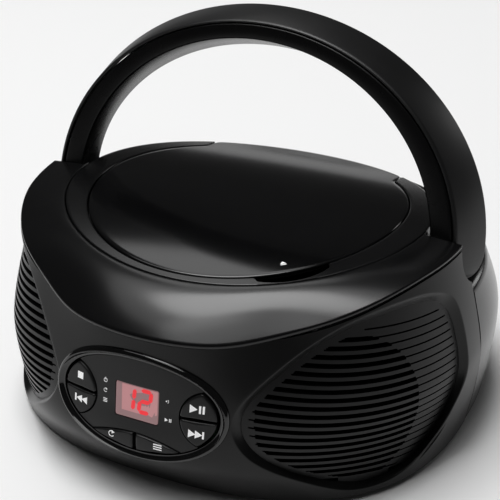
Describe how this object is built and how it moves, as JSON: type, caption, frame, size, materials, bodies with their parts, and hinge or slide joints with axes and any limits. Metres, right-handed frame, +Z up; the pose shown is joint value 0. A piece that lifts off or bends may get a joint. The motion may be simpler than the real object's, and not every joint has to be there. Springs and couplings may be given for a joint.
{
  "type": "cd boombox",
  "caption": "Rounded portable CD boombox with a swing handle over a top-loading disc lid, slotted side speakers and an oval control panel with a two-digit display.",
  "frame": {"origin": "middle of the footprint at floor level, on the disc's spin axis", "axes": "+Z up, -Y the front with the control panel, +X the right-hand side seen from the front"},
  "size_m": [0.2348, 0.2301, 0.1806],
  "materials": {
    "gloss_black": "high gloss",
    "satin_black": "satin",
    "grille_black": "satin",
    "deck_black": "matte",
    "rubber_black": "matte",
    "steel": "satin",
    "cone_paper": "matte",
    "circuit_green": "matte",
    "display_red": "tinted window with lit red digits",
    "lens_glass": "clear"
  },
  "bodies": {
    "cabinet": {"front_shell": "satin_black", "rear_shell": "gloss_black", "top_shell": "gloss_black", "base_plate": "satin_black", "foot_front_right": "rubber_black", "base_screw_front_right": "steel", "foot_front_left": "rubber_black", "base_screw_front_left": "steel", "foot_rear_right": "rubber_black", "base_screw_rear_right": "steel", "foot_rear_left": "rubber_black", "base_screw_rear_left": "steel", "lid_ring": "gloss_black", "cd_deck": "deck_black", "lid_hinge_pin_right": "steel", "lid_hinge_pin_left": "steel", "spindle_motor": "steel", "mech_chassis": "deck_black", "sled_rail_front": "steel", "sled_rail_rear": "steel", "handle_pivot_right": "steel", "handle_pivot_left": "steel", "panel_bezel": "gloss_black", "panel_plate": "satin_black", "display_window": "display_red", "display_module": "deck_black", "key_board": "circuit_green", "main_board": "circuit_green", "transformer": "steel", "battery_tray": "deck_black", "power_inlet": "deck_black", "aux_socket": "deck_black", "antenna_grommet": "rubber_black", "speaker_grille_right": "grille_black", "speaker_basket_right": "steel", "speaker_cone_right": "cone_paper", "speaker_magnet_right": "steel", "speaker_grille_left": "grille_black", "speaker_basket_left": "steel", "speaker_cone_left": "cone_paper", "speaker_magnet_left": "steel"},
    "lid": {"cd_lid": "gloss_black", "lid_catch": "deck_black"},
    "spindle": {"spindle_hub": "deck_black"},
    "sled": {"laser_sled": "deck_black", "laser_lens": "lens_glass"},
    "handle": {"handle_frame": "satin_black", "handle_cover": "gloss_black"},
    "button_stop": {"button_stop": "satin_black"},
    "button_previous": {"button_previous": "satin_black"},
    "button_play_pause": {"button_play_pause": "satin_black"},
    "button_next": {"button_next": "satin_black"},
    "button_repeat": {"button_repeat": "satin_black"},
    "button_program": {"button_program": "satin_black"},
    "battery_door": {"battery_door": "satin_black"},
    "volume_knob": {"volume_knob": "satin_black"},
    "function_switch": {"function_switch": "satin_black"}
  },
  "joints": [
    {"name": "lid_hinge", "type": "hinge", "parent": "cabinet", "child": "lid", "pos_m": [0, 0.071, 0.0826], "axis": [-1, 0, 0], "range_deg": [0, 28]},
    {"name": "spindle_spin", "type": "hinge", "parent": "cabinet", "child": "spindle", "pos_m": [0, 0, 0.08], "axis": [0, 0, 1], "continuous": true},
    {"name": "sled_slide", "type": "slide", "parent": "cabinet", "child": "sled", "axis": [1, 0, 0], "range_m": [0, 0.03]},
    {"name": "handle_swing", "type": "hinge", "parent": "cabinet", "child": "handle", "pos_m": [0, 0.0049, 0.0889], "axis": [-1, 0, 0], "range_deg": [0, 75]},
    {"name": "button_stop_press", "type": "slide", "parent": "cabinet", "child": "button_stop", "axis": [0.2056, 0.9673, -0.1483], "range_m": [0, 0.001], "stiffness_N_per_m": 400},
    {"name": "button_previous_press", "type": "slide", "parent": "cabinet", "child": "button_previous", "axis": [0.2056, 0.9673, -0.1483], "range_m": [0, 0.001], "stiffness_N_per_m": 400},
    {"name": "button_play_pause_press", "type": "slide", "parent": "cabinet", "child": "button_play_pause", "axis": [-0.2056, 0.9673, -0.1483], "range_m": [0, 0.001], "stiffness_N_per_m": 400},
    {"name": "button_next_press", "type": "slide", "parent": "cabinet", "child": "button_next", "axis": [-0.2056, 0.9673, -0.1483], "range_m": [0, 0.001], "stiffness_N_per_m": 400},
    {"name": "button_repeat_press", "type": "slide", "parent": "cabinet", "child": "button_repeat", "axis": [0, 0.9889, -0.1483], "range_m": [0, 0.001], "stiffness_N_per_m": 400},
    {"name": "button_program_press", "type": "slide", "parent": "cabinet", "child": "button_program", "axis": [0, 0.9889, -0.1483], "range_m": [0, 0.001], "stiffness_N_per_m": 400},
    {"name": "battery_door_hinge", "type": "hinge", "parent": "cabinet", "child": "battery_door", "pos_m": [0, 0.11132, 0.0169], "axis": [-1, 0, 0], "range_deg": [0, 75]},
    {"name": "volume_turn", "type": "hinge", "parent": "cabinet", "child": "volume_knob", "pos_m": [-0.08933, 0.07766, 0.056], "axis": [-0.7276, 0.686, 0], "range_deg": [-140, 140]},
    {"name": "function_slide", "type": "slide", "parent": "cabinet", "child": "function_switch", "axis": [-0.7898, 0.6133, 0], "range_m": [0, 0.006]}
  ]
}
